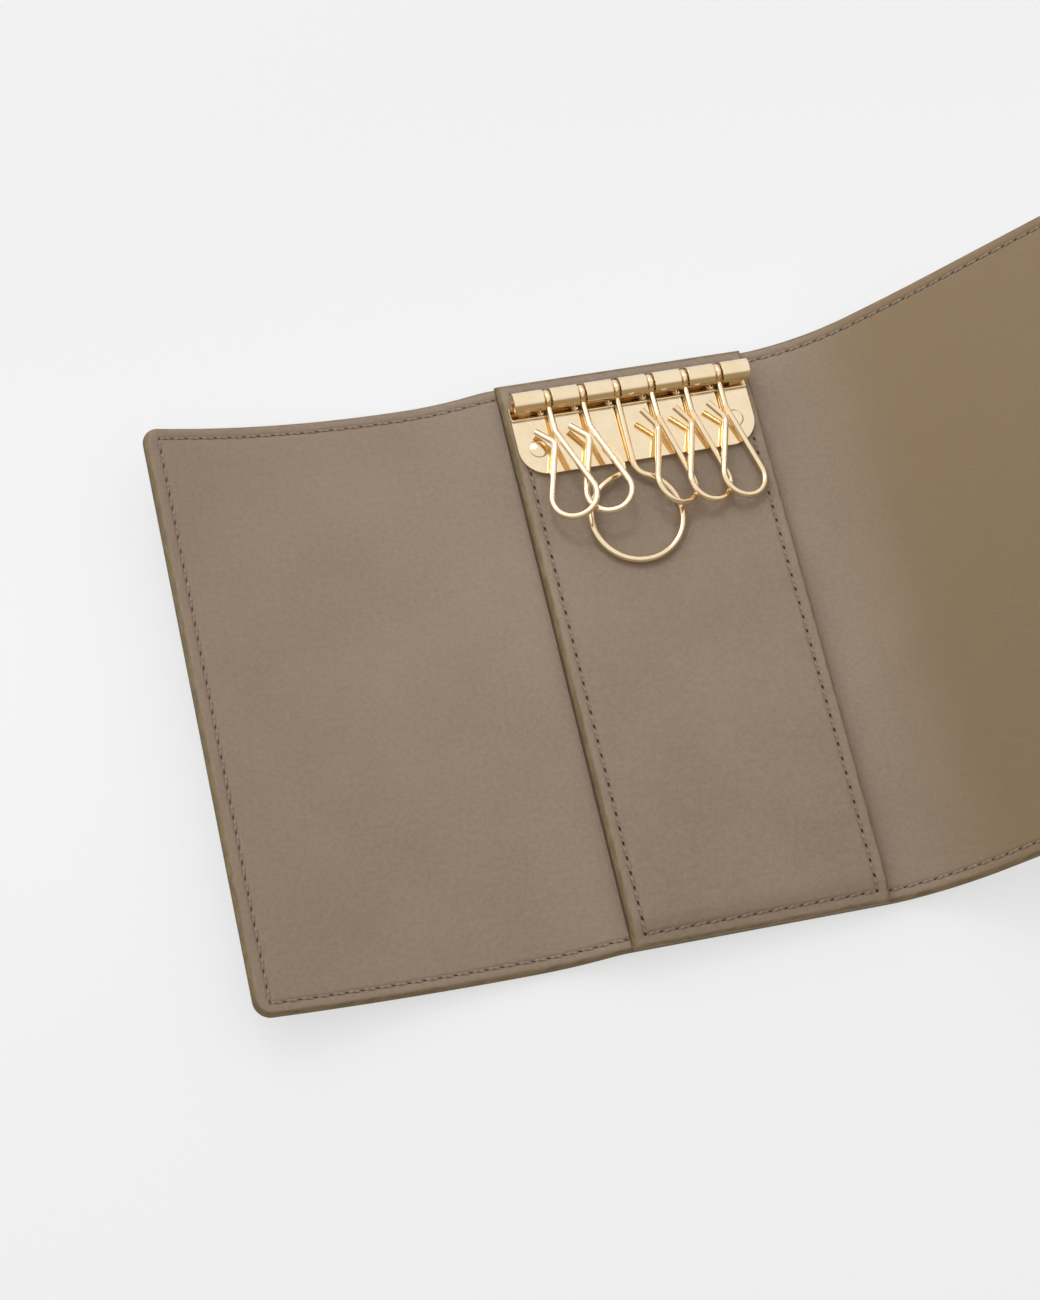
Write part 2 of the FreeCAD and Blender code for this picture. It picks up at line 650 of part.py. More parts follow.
def resting(pieces):
    """Placement of the open case on its table, with the middle of its footprint at the origin."""
    tipped = Placement(NOWHERE, Rotation(ALONG, rest_tilt()))
    box = Part.makeCompound([carried(piece, tipped) for piece in pieces.values()]).optimalBoundingBox(False)
    middle = Vector((box.XMin + box.XMax) / 2, (box.YMin + box.YMax) / 2, box.ZMin)
    return Placement(-middle, Rotation()) * tipped


def main():
    os.makedirs("parts", exist_ok=True)
    pieces = build()
    rest = resting(pieces)
    for name, piece in pieces.items():
        carried(piece, rest).exportStep(f"parts/{name}.step")
    return pieces, rest


if __name__ == "__main__":
    main()
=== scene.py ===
"""Looks of an open three-fold key case: smooth taupe leather, painted edges, thread and pale gold hooks.

Everything is in metres, in the part's own frame. The leather is drawn flat, as a distance along the case
from the middle of the back, a place up the case and a height over the lining, and then laid on the folds.
"""

import json
import math

import bpy
import numpy as np
from mathutils import Matrix, Vector


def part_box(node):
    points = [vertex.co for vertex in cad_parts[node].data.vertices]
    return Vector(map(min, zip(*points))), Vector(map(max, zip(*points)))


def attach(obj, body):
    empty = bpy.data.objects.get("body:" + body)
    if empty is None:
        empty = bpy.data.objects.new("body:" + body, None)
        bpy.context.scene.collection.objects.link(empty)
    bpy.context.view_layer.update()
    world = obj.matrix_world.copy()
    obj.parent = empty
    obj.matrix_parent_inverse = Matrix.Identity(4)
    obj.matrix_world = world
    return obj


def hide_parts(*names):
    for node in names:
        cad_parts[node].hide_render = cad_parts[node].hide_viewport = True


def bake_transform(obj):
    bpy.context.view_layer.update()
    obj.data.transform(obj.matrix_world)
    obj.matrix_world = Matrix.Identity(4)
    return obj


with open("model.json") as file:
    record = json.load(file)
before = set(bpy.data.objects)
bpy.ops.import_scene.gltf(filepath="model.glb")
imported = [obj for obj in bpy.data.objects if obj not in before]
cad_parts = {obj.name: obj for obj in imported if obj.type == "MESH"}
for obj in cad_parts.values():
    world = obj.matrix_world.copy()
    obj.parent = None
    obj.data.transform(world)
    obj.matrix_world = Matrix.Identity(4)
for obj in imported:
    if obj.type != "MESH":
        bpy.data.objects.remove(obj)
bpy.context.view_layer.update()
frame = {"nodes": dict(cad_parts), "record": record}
joints = {joint["name"]: joint for joint in frame["record"]["behaviour"]["joints"]}

MM = 0.001

# Leather, as on the solids
STACK = 2.0 * MM
MIDDLE_DEPTH = 1.0 * MM
PANEL_THICKNESS = 2.0 * MM
PANEL_END_THICKNESS = 0.8 * MM
PANEL_SKIVE_LENGTH = 5.0 * MM
CORNER_RADIUS = 3.0 * MM
LEFT_SPINE_TURN = math.radians(22.0)
RIGHT_SPINE_TURN = math.radians(32.0)
LEFT_FLAP_LENGTH = 47.8 * MM
LEFT_FLAP_TURN = math.radians(17.0)
LEFT_FLAP_TWIST = math.radians(5.3)
RIGHT_FLAP_CURVED_LENGTH = 18.0 * MM
RIGHT_FLAP_STRAIGHT_LENGTH = 28.0 * MM
RIGHT_FLAP_TURN = math.radians(4.0)
FOLD_SPREAD = 3.0 * MM
FOLD_REACH_IN = 2.0 * MM
FOLD_REACH = 5.5 * MM

# Edges and seams
EDGE_ROUND = 1.0 * MM
RIM_STEPS = 6
SEAM_INSET = 2.15 * MM
END_SEAM_INSET = 2.65 * MM
SEAM_WIDTH = 0.42 * MM
SEAM_DEPTH = 0.16 * MM
SEAM_STEPS = 6
STITCH_PITCH = 2.65 * MM
STITCH_SLANT = 0.34 * MM
THREAD_RADIUS = 0.23 * MM
THREAD_SINK = 0.34 * MM
THREAD_CROWN = 0.1 * MM
THREAD_FLAT_SHARE = 0.8
THREAD_ARCH_POWER = 0.7
THREAD_RINGS = 7
THREAD_TURNS = 2.5
THREAD_SIDES = 8
MARK_LIFT = 0.03 * MM
MARK_SIDES = 12

# Needle marks, dark slits of painted shade in the holes and beside the thread: length, width, slant, and
# how far beside the seam they open
OPEN_MARK = (1.02 * MM, 0.54 * MM, math.radians(35.0), 0.0)
SMALL_MARK = (0.80 * MM, 0.50 * MM, math.radians(35.0), 0.0)
SIDE_SHADE_MARK = (1.15 * MM, 0.30 * MM, math.radians(28.0), -0.14 * MM)

# Key panel: how far its leather stands out on the right, how round its edges are, and where its seams run
PANEL_LIP = 1.0 * MM
PANEL_ROUND_LEFT = 1.25 * MM
PANEL_ROUND_RIGHT = 0.35 * MM
PANEL_ROUND_END = 0.5 * MM
PANEL_SEAM_LEFT = 2.45 * MM
PANEL_SEAM_RIGHT = 2.05 * MM
PANEL_SEAM_END = 2.1 * MM

# How much narrower the key panel's edge paint is than the case's, and wider where it is below zero
PANEL_BARE_LEFT = -0.25 * MM
# On the right the paint is a thin line at the very edge: edge paint, and painted shade where the panel
# meets the rising spine
PANEL_BARE_RIGHT = 0.2 * MM

# Mesh spacing
FLAT_STEP = 2.4 * MM
CURVE_STEP = 1.0 * MM
PATH_SAMPLES = 4000
SHARP_ANGLE = math.radians(40.0)
LEAST_RADIUS = 1e-6 * MM


def spread_step(value):
    """A smooth step from 0 to 1."""
    value = np.clip(value, 0, 1)
    return value * value * (3 - 2 * value)


# Where the back lies: its lining surface runs between the two inner folds
left_fold = Vector(joints["left_spine_fold"]["pos_m"])
right_fold = Vector(joints["right_spine_fold"]["pos_m"])
back_middle = (left_fold + right_fold) / 2
across = (right_fold - left_fold).normalized()
along = Vector((0, 1, 0))
up = across.cross(along)
BACK_HALF = (right_fold - left_fold).length / 2
CASE_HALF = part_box("back_lining")[1].y
PANEL_HALF = (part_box("key_panel")[1].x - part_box("key_panel")[0].x) / 2
PANEL_RIGHT = PANEL_HALF + PANEL_LIP


def on_back(x, y, height):
    """A point over the back's lining, from its middle."""
    x, y, height = np.broadcast_arrays(x, y, height)
    return (np.array(back_middle) + np.multiply.outer(x, np.array(across))
            + np.multiply.outer(y, np.array(along)) + np.multiply.outer(height, np.array(up)))


class Side:
    """One side of the case in cross-section, from the middle of the back to its free edge."""

    def __init__(self, sign, names, spine_turn, flap_bends, twist):
        self.sign = sign
        self.spine, self.flap = names
        fold = Vector(joints[f"{self.spine}_fold"]["pos_m"])
        next_fold = Vector(joints[f"{self.flap}_fold"]["pos_m"])
        chord = next_fold - fold
        reach = sign * chord.dot(across)
        rise = chord.dot(up)
        spine_length = chord.length * (spine_turn / 2) / math.sin(spine_turn / 2)
        kink = math.atan2(rise, reach) - spine_turn / 2
        self.folds = (BACK_HALF, BACK_HALF + spine_length)
        self.split = BACK_HALF + spine_length / 2
        stops = [0.0, self.folds[0], self.folds[1]]
        turns = [0.0, 0.0, spine_turn]
        for length, turn in flap_bends:
            stops.append(stops[-1] + length)
            turns.append(turns[-1] + turn)
        self.length = stops[-1]
        self.samples = np.linspace(0, self.length, PATH_SAMPLES)
        bend = np.interp(self.samples, stops, turns)
        bend += kink * spread_step((self.samples - self.folds[0] + FOLD_SPREAD) / (2 * FOLD_SPREAD))
        on_flap = np.clip((self.samples - self.folds[1]) / (self.length - self.folds[1]), 0, 1)
        self.paths = [self.path(bend - twist * on_flap), self.path(bend + twist * on_flap)]

    def path(self, heading):
        """Reach, rise and heading along the section."""
        step = self.samples[1]
        middle = (heading[1:] + heading[:-1]) / 2
        reach = np.concatenate([[0], np.cumsum(np.cos(middle)) * step])
        rise = np.concatenate([[0], np.cumsum(np.sin(middle)) * step])
        return reach, rise, heading

    def place(self, distance, y, height):
        """Points at a distance along the section, a place up the case and a height over the lining."""
        distance, y, height = np.broadcast_arrays(distance, y, height)
        share = np.clip(y / CASE_HALF / 2 + 0.5, 0, 1)
        low, high = [[np.interp(distance, self.samples, row) for row in path] for path in self.paths]
        reach, rise, heading = [a + (b - a) * share for a, b in zip(low, high)]
        return on_back(
            self.sign * (reach - height * np.sin(heading)),
            y,
            rise + height * np.cos(heading),
        )

    def fold_ends(self, which):
        """Start and end of the bend at a fold, for the pieces that cross it."""
        fold = self.folds[which]
        reach_in = FOLD_REACH if which else FOLD_REACH_IN
        return [tuple(self.place(fold + step, 0.0, 0.0)) for step in (-reach_in, FOLD_REACH)]


left = Side(-1, ("left_spine", "left_flap"), LEFT_SPINE_TURN, [(LEFT_FLAP_LENGTH, LEFT_FLAP_TURN)],
            LEFT_FLAP_TWIST)
right = Side(1, ("right_spine", "right_flap"), RIGHT_SPINE_TURN,
             [(RIGHT_FLAP_CURVED_LENGTH, RIGHT_FLAP_TURN), (RIGHT_FLAP_STRAIGHT_LENGTH, 0.0)], 0.0)


# Mesh helpers

def mesh_piece(name, points, faces, material, smooth=True):
    """A mesh object from points and faces, without the points that no face uses."""
    points = np.asarray(points, float).reshape(-1, 3)
    used = sorted({corner for face in faces for corner in face})
    renumber = {old: new for new, old in enumerate(used)}
    mesh = bpy.data.meshes.new(name)
    mesh.from_pydata(points[used].tolist(), [], [[renumber[c] for c in face] for face in faces])
    mesh.validate()
    piece = bpy.data.objects.new(name, mesh)
    bpy.context.scene.collection.objects.link(piece)
    mesh.materials.append(material)
    if smooth:
        mesh.shade_smooth()
        mesh.set_sharp_from_angle(angle=SHARP_ANGLE)
    return piece, used


def keep_values(piece, name, values):
    """Store a number for each point of a piece, for its material."""
    attribute = piece.data.attributes.new(name, "FLOAT", "POINT")
    attribute.data.foreach_set("value", np.asarray(values, np.float32).ravel())


def keep_flat(piece, flat):
    """Store where each point of a piece lies on the flat leather, for its material's grain."""
    attribute = piece.data.attributes.new("flat", "FLOAT_VECTOR", "POINT")
    attribute.data.foreach_set("vector", np.asarray(flat, np.float32).ravel())


def even_stops(start, stop, step):
    """Places from start to stop, no further apart than a step."""
    count = max(1, math.ceil((stop - start) / step))
    return list(np.linspace(start, stop, count + 1))


def edge_insets(edge_round, seam_inset):
    """Distances in from an edge: close together over its rounding and across its seam."""
    rim = [edge_round * (1 - math.cos(math.pi / 2 * k / RIM_STEPS)) for k in range(RIM_STEPS + 1)]
    seam = np.linspace(seam_inset - 2 * SEAM_WIDTH, seam_inset + 2 * SEAM_WIDTH, 2 * SEAM_STEPS + 1)
    return rim + [stop for stop in seam if stop > edge_round]


def edged_stops(low_end, low_insets, high_end, high_insets, step):
    """Places across a sheet from one edge to the other, close together at both."""
    inner = even_stops(low_end + low_insets[-1], high_end - high_insets[-1], step)
    return [low_end + d for d in low_insets[:-1]] + inner + [high_end - d for d in high_insets[-2::-1]]


def rim_drop(inset, edge_round):
    """How far the surface falls away at a rounded edge."""
    reach = np.clip(edge_round - inset, 0, edge_round)
    return edge_round - np.sqrt(np.maximum(edge_round ** 2 - reach ** 2, 0))


def seam_dip(from_seam):
    """How deep the leather is pressed in along a seam."""
    return SEAM_DEPTH * np.exp(-(from_seam / SEAM_WIDTH) ** 2)


def round_corner(end_inset, side_inset):
    """Bend a corner of the grid round: each line at one inset turns on an arc about one centre."""
    inset = np.minimum(end_inset, side_inset)
    longer = np.maximum(end_inset, side_inset)
    in_corner = longer < CORNER_RADIUS
    radius = np.maximum(CORNER_RADIUS - inset, LEAST_RADIUS)
    angle = np.where(in_corner, (CORNER_RADIUS - longer) / radius, 0) * math.pi / 4
    near = CORNER_RADIUS - radius * np.cos(angle)
    far = CORNER_RADIUS - radius * np.sin(angle)
    end_first = end_inset <= side_inset
    new_end = np.where(in_corner, np.where(end_first, near, far), end_inset)
    new_side = np.where(in_corner, np.where(end_first, far, near), side_inset)
    return new_end, new_side


def grid_faces(index, flip):
    """Four-sided faces over a grid of point numbers."""
    faces = []
    for i in range(index.shape[0] - 1):
        for j in range(index.shape[1] - 1):
            face = [index[i, j], index[i + 1, j], index[i + 1, j + 1], index[i, j + 1]]
            faces.append(face[::-1] if flip else face)
    return faces


def slab_faces(shape, open_ends, flip):
    """Faces of a closed slab: a shown grid, a hidden grid that shares its rim, and flat cut ends."""
    shown = np.arange(shape[0] * shape[1]).reshape(shape)
    hidden = shown + shown.size
    hidden[:, 0] = shown[:, 0]
    hidden[:, -1] = shown[:, -1]
    for end in (0, -1):
        if end not in open_ends:
            hidden[end, :] = shown[end, :]
    faces = grid_faces(shown, flip) + grid_faces(hidden, not flip)
    for end in open_ends:
        for j in range(shape[1] - 1):
            corners = [shown[end, j], shown[end, j + 1], hidden[end, j + 1], hidden[end, j]]
            face = list(dict.fromkeys(corners))
            faces.append(face[::-1] if flip == (end == 0) else face)
    return faces


def leather_sheet(name, side, span, free_end, layer, material):
    """One closed sheet of a side of the case: its lining, or the outer leather under that."""
    insets = edge_insets(EDGE_ROUND, SEAM_INSET)
    end_insets = edge_insets(EDGE_ROUND, END_SEAM_INSET) if free_end else [0.0]
    start, stop = span
    columns = edged_stops(start, [0.0], stop, end_insets, CURVE_STEP)
    rows = edged_stops(-CASE_HALF, insets, CASE_HALF, insets, FLAT_STEP)
    s, y = np.meshgrid(columns, rows, indexing="ij")
    side_inset = CASE_HALF - np.abs(y)
    end_inset = stop - s if free_end else np.full_like(s, CASE_HALF)
    inset = np.minimum(side_inset, end_inset)
    from_seam = np.minimum(side_inset - SEAM_INSET, end_inset - END_SEAM_INSET)
    if free_end:
        end_inset, side_inset = round_corner(end_inset, side_inset)
        s = stop - end_inset
        y = np.sign(y) * (CASE_HALF - side_inset)
    fall = rim_drop(inset, EDGE_ROUND) + seam_dip(from_seam)
    height = -fall if layer == "lining" else fall - STACK
    hidden_height = np.full_like(s, -MIDDLE_DEPTH)
    flat = np.stack([np.concatenate([a.ravel(), b.ravel()]) for a, b in
                     ((s, s), (y, y), (height, hidden_height))], axis=1)
    points = side.place(flat[:, 0], flat[:, 1], flat[:, 2])
    open_ends = (0,) if free_end else (0, -1)
    flip = (layer == "lining") == (side.sign < 0)
    piece, used = mesh_piece(name, points, slab_faces(s.shape, open_ends, flip), material)
    keep_values(piece, "rim", np.tile(inset.ravel(), 2)[used])
    keep_values(piece, "from_seam", np.tile(from_seam.ravel(), 2)[used])
    keep_values(piece, "underside_shade_depth", -flat[used, 2])
    flat[:, 0] *= side.sign
    keep_flat(piece, flat[used])
    return piece


# Materials

class Shader:
    """A material's node tree, with short calls to add and join its nodes."""

    def __init__(self, name):
        self.material = bpy.data.materials.new(name)
        self.material.use_nodes = True
        self.tree = self.material.node_tree
        self.principled = self.tree.nodes["Principled BSDF"]

    def node(self, kind, values=(), **settings):
        made = self.tree.nodes.new(kind)
        for key, value in settings.items():
            setattr(made, key, value)
        for key, value in dict(values).items():
            if isinstance(value, bpy.types.NodeSocket):
                self.tree.links.new(value, made.inputs[key])
            else:
                made.inputs[key].default_value = value
        return made

    def flat(self, scale=(1.0, 1.0, 1.0)):
        spot = self.node("ShaderNodeAttribute", attribute_name="flat")
        return self.node("ShaderNodeMapping", {"Vector": spot.outputs["Vector"], "Scale": scale}).outputs[0]

    def flat_part(self, part):
        spot = self.node("ShaderNodeAttribute", attribute_name="flat")
        return self.node("ShaderNodeSeparateXYZ", {"Vector": spot.outputs["Vector"]}).outputs[part]

    def value(self, name):
        return self.node("ShaderNodeAttribute", attribute_name=name).outputs["Fac"]

    def noise(self, vector, scale, detail=2.0, roughness=0.5):
        values = {"Vector": vector, "Scale": scale, "Detail": detail, "Roughness": roughness}
        return self.node("ShaderNodeTexNoise", values).outputs["Fac"]

    def cells(self, vector, scale):
        values = {"Vector": vector, "Scale": scale}
        return self.node("ShaderNodeTexVoronoi", values, feature="DISTANCE_TO_EDGE").outputs["Distance"]

    def math(self, operation, first, second=0.0, third=0.0):
        return self.node("ShaderNodeMath", {0: first, 1: second, 2: third}, operation=operation).outputs[0]

    def ramp(self, value, low, high, to_low=0.0, to_high=1.0):
        values = {"Value": value, "From Min": low, "From Max": high, "To Min": to_low, "To Max": to_high}
        return self.node("ShaderNodeMapRange", values, clamp=True).outputs[0]

    def blend(self, share, first, second, kind="MIX"):
        made = self.tree.nodes.new("ShaderNodeMix")
        made.data_type = "RGBA"
        made.blend_type = kind
        for key, value in ((0, share), (6, first), (7, second)):
            if isinstance(value, bpy.types.NodeSocket):
                self.tree.links.new(value, made.inputs[key])
            else:
                made.inputs[key].default_value = value
        return made.outputs[2]

    def bump(self, height, strength, distance, normal=None):
        values = {"Height": height, "Strength": strength, "Distance": distance}
        if normal is not None:
            values["Normal"] = normal
        return self.node("ShaderNodeBump", values).outputs[0]

    def finish(self, **inputs):
        for key, value in inputs.items():
            socket = self.principled.inputs[key.replace("_", " ")]
            if isinstance(value, bpy.types.NodeSocket):
                self.tree.links.new(value, socket)
            else:
                socket.default_value = value
        return self.material


# Leather colours
LINING_COLOUR = (0.247, 0.183, 0.130, 1)
LINING_LIGHT = (0.306, 0.230, 0.166, 1)
OUTER_COLOUR = (0.230, 0.169, 0.118, 1)
OUTER_LIGHT = (0.284, 0.211, 0.150, 1)
# Painted warm light towards the right flap, on the outer leather and on the lining
OUTER_RIGHT_PAINTED_LIGHT = (0.258, 0.190, 0.133, 1)
PAINTED_WARM_LIGHT = (0.252, 0.171, 0.090, 1)
PAINT_COLOUR = (0.156, 0.109, 0.048, 1)
PAINT_LIGHT = (0.232, 0.169, 0.079, 1)
# Painted shade on the lower part of the painted edges
UNDERSIDE_PAINTED_SHADE = (0.044, 0.031, 0.016, 1)
# Painted shade in the seams' grooves
SEAM_PAINTED_SHADE = (0.160, 0.114, 0.078, 1)

# Where the leather's colours change: paint from the rim, painted shade on its lower part, painted warm
# light to the right
PAINT_EDGE = 0.6 * MM
PAINT_FADE = 0.4 * MM
UNDERSIDE_SHADE_START = 0.55 * MM
UNDERSIDE_SHADE_END = 1.25 * MM
WARM_LIGHT_START = 28.0 * MM
WARM_LIGHT_END = 48.0 * MM
WARM_LIGHT_SHARE = 0.85
# Painted shade along the seams' grooves: how far it reaches and how much it counts
SEAM_PAINTED_SHADE_REACH = 1.5 * SEAM_WIDTH
SEAM_PAINTED_SHADE_SHARE = 0.45

# Leather grain: waves or cells in a metre, and how much each pattern counts
CLOUD_WAVES = 45.0
MOTTLE_WAVES = 1150.0
PORE_CELLS = 2300.0
WANDER_WAVES = 420.0
STREAK_WAVES = 350.0
STREAK_STRETCH = (1.0, 1.0, 6.0)
STREAK_RANGE = (0.4, 0.65)
TONE_RANGE = (0.37, 0.63)
TONE_MOTTLE_SHARE = 0.65
TONE_CLOUD_SHARE = 0.35
PORE_EDGE_SHARE = 0.12
GRAIN_PORE_SHARE = 0.7
GRAIN_MOTTLE_SHARE = 0.8
GRAIN_PAINTED_SHARE = 0.25
GRAIN_STRENGTH = 0.7
LINING_GRAIN_DEPTH = 0.05 * MM
OUTER_GRAIN_DEPTH = 0.09 * MM
LEATHER_ROUGHNESS = 0.44
LEATHER_ROUGHNESS_SPREAD = 0.16
PAINT_SMOOTHING = 0.06


def leather(name, colour, light, right_painted_light, grain_depth):
    """Smooth calf leather: fine pores, faint clouding, a pressed seam in painted shade, rim paint with
    painted shade below, and painted warm light to the right.
    """
    shader = Shader(name)
    flat = shader.flat()
    clouds = shader.noise(flat, CLOUD_WAVES, detail=3.0, roughness=0.55)
    mottle = shader.noise(flat, MOTTLE_WAVES, detail=4.0, roughness=0.7)
    pores = shader.cells(flat, PORE_CELLS)
    cloudy = shader.math("MULTIPLY", clouds, TONE_CLOUD_SHARE)
    tone = shader.math("MULTIPLY_ADD", mottle, TONE_MOTTLE_SHARE, cloudy)
    body = shader.blend(shader.ramp(tone, *TONE_RANGE), colour, light)
    # Painted warm light towards the right flap
    warm_light = shader.ramp(shader.flat_part("X"), WARM_LIGHT_START, WARM_LIGHT_END, 0.0, WARM_LIGHT_SHARE)
    body = shader.blend(warm_light, body, right_painted_light)
    # Painted shade in the seam's groove
    from_seam = shader.math("ABSOLUTE", shader.value("from_seam"))
    shade = shader.ramp(from_seam, 0.0, SEAM_PAINTED_SHADE_REACH, SEAM_PAINTED_SHADE_SHARE, 0.0)
    body = shader.blend(shade, body, SEAM_PAINTED_SHADE)
    wander = shader.noise(flat, WANDER_WAVES)
    line = shader.math("MULTIPLY_ADD", wander, PAINT_FADE, shader.value("rim"))
    painted = shader.ramp(line, PAINT_EDGE, PAINT_EDGE + PAINT_FADE, 1.0, 0.0)
    streaks = shader.noise(shader.flat(STREAK_STRETCH), STREAK_WAVES, detail=3.0, roughness=0.6)
    paint = shader.blend(shader.ramp(streaks, *STREAK_RANGE), PAINT_COLOUR, PAINT_LIGHT)
    # Painted shade: the lower part of the edge paint is darker
    paint = shader.blend(shader.ramp(shader.value("underside_shade_depth"), UNDERSIDE_SHADE_START, UNDERSIDE_SHADE_END), paint, UNDERSIDE_PAINTED_SHADE)
    pits = shader.ramp(pores, 0.0, PORE_EDGE_SHARE, 0.0, GRAIN_PORE_SHARE)
    grain = shader.math("MULTIPLY_ADD", mottle, GRAIN_MOTTLE_SHARE, pits)
    bare = shader.ramp(painted, 0.0, 1.0, 1.0, GRAIN_PAINTED_SHARE)
    grain = shader.math("MULTIPLY", grain, bare)
    rough = shader.math("MULTIPLY_ADD", mottle, LEATHER_ROUGHNESS_SPREAD, LEATHER_ROUGHNESS)
    rough = shader.math("SUBTRACT", rough, shader.math("MULTIPLY", painted, PAINT_SMOOTHING))
    return shader.finish(
        Base_Color=shader.blend(painted, body, paint),
        Roughness=rough,
        Normal=shader.bump(grain, GRAIN_STRENGTH, grain_depth),
        Specular_IOR_Level=0.4,
        Sheen_Weight=0.05,
        Sheen_Roughness=0.4,
    )


# Thread and needle marks
# Thread colours: painted shade between the strands of the twist, painted highlight on their crests
THREAD_DARK = (0.205, 0.150, 0.105, 1)
THREAD_HIGHLIGHT = (0.310, 0.235, 0.172, 1)
FIBRE_WAVES = 5200.0
FIBRE_RANGE = (-0.6, 1.4)
LAY_STRENGTH = 0.3
LAY_DEPTH = 0.04 * MM
# Painted shade in the needle holes and beside the thread, darker and paler
HOLE_SHADE_DARK = (0.032, 0.021, 0.014, 1)
HOLE_SHADE_PALE = (0.056, 0.038, 0.026, 1)
SHADE_SPECKLE_WAVES = 3000.0


def thread(name):
    """Twisted sewing thread: its fibres' own tone, with painted highlight and shade along the twist."""
    shader = Shader(name)
    lay = shader.math("SINE", shader.value("twist"))
    fibre = shader.noise(shader.flat(), FIBRE_WAVES)
    # Painted highlight and shade along the twist, over the fibres' own tone
    light = shader.ramp(shader.math("ADD", lay, fibre), *FIBRE_RANGE)
    return shader.finish(
        Base_Color=shader.blend(light, THREAD_DARK, THREAD_HIGHLIGHT),
        Roughness=0.55,
        Normal=shader.bump(lay, LAY_STRENGTH, LAY_DEPTH),
        Specular_IOR_Level=0.4,
    )


def needle_hole_shade(name):
    """Painted shade of a needle hole, speckled."""
    shader = Shader(name)
    speckle = shader.noise(shader.flat(), SHADE_SPECKLE_WAVES, detail=1.0)
    colour = shader.blend(speckle, HOLE_SHADE_DARK, HOLE_SHADE_PALE)
    return shader.finish(Base_Color=colour, Roughness=0.85, Specular_IOR_Level=0.1)


# Metal: colour, its darker clouds and roughness of each finish, and the fine marks that all have
GOLD_FINISH = ((0.95, 0.79, 0.55, 1), (0.91, 0.73, 0.48, 1), 0.06)
SNAP_FINISH = ((0.93, 0.77, 0.52, 1), (0.88, 0.70, 0.45, 1), 0.14)
HIDDEN_FINISH = ((0.62, 0.60, 0.56, 1), (0.55, 0.53, 0.50, 1), 0.35)
METAL_EDGE_ROUND = 0.15 * MM
HAZE_WAVES = 260.0
HAZE_RANGE = (0.35, 0.7)
HAZE_ROUGHNESS = 0.08
BUFF_WAVES = 900.0
BUFF_STRETCH = (1, 9, 9)
BUFF_STRENGTH = 0.03
BUFF_DEPTH = 0.05 * MM


def polished(name, colour, shade, roughness):
    """Plated metal: a bright polish with faint buffing and tiny handling marks."""
    shader = Shader(name)
    spot = shader.node("ShaderNodeTexCoord").outputs["Object"]
    haze = shader.noise(spot, HAZE_WAVES, detail=3.0, roughness=0.6)
    drawn_out = shader.node("ShaderNodeMapping", {"Vector": spot, "Scale": BUFF_STRETCH}).outputs[0]
    buff = shader.noise(drawn_out, BUFF_WAVES)
    worn_edge = shader.node("ShaderNodeBevel", {"Radius": METAL_EDGE_ROUND}, samples=4).outputs[0]
    return shader.finish(
        Base_Color=shader.blend(shader.ramp(haze, *HAZE_RANGE), colour, shade),
        Metallic=1.0,
        Roughness=shader.math("MULTIPLY_ADD", haze, HAZE_ROUGHNESS, roughness),
        Normal=shader.bump(buff, BUFF_STRENGTH, BUFF_DEPTH, worn_edge),
    )


lining_leather = leather("lining_leather", LINING_COLOUR, LINING_LIGHT, PAINTED_WARM_LIGHT, LINING_GRAIN_DEPTH)
outer_leather = leather("outer_leather", OUTER_COLOUR, OUTER_LIGHT, OUTER_RIGHT_PAINTED_LIGHT, OUTER_GRAIN_DEPTH)
sewing_thread = thread("sewing_thread")
hole_shade = needle_hole_shade("needle_hole_shade")
gold = polished("pale_gold", *GOLD_FINISH)
snap_metal = polished("snap_gold", *SNAP_FINISH)
hidden_metal = polished("hidden_metal", *HIDDEN_FINISH)


# Leather of the case, cut at the middle of the back and of each spine

def cross_fold(piece, side, which):
    """Bake a piece's place into its points; the ends of the bend at its fold are looked up but not used."""
    start, end = side.fold_ends(which)
    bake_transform(piece)


def case_sheets():
    """The lining and outer leather of the case, in sheets that each cross one fold."""
    for side in (left, right):
        for which, part in enumerate((side.spine, side.flap)):
            span = (0.0, side.split) if which == 0 else (side.split, side.length)
            for layer, material in (("lining", lining_leather), ("outer", outer_leather)):
                piece = leather_sheet(f"{part}_{layer}_leather", side, span, which == 1, layer, material)
                cross_fold(piece, side, which)
                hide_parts(f"{part}_{layer}")
                if part == "left_spine":
                    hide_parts(f"back_{layer}")


def panel_thickness(y):
    """Thickness of the key panel, thinned to its ends."""
    rise = spread_step((CASE_HALF - np.abs(y)) / PANEL_SKIVE_LENGTH)
    return PANEL_END_THICKNESS + (PANEL_THICKNESS - PANEL_END_THICKNESS) * rise


def panel_height(x, y):
    """Height of the key panel's face over the lining, with rounded edges."""
    end_inset = CASE_HALF - np.abs(y)
    height = panel_thickness(y)
    drops = [
        rim_drop(x + PANEL_HALF, PANEL_ROUND_LEFT),
        rim_drop(PANEL_RIGHT - x, PANEL_ROUND_RIGHT),
        rim_drop(end_inset, PANEL_ROUND_END),
    ]
    return height - np.minimum(np.maximum.reduce(drops), height)


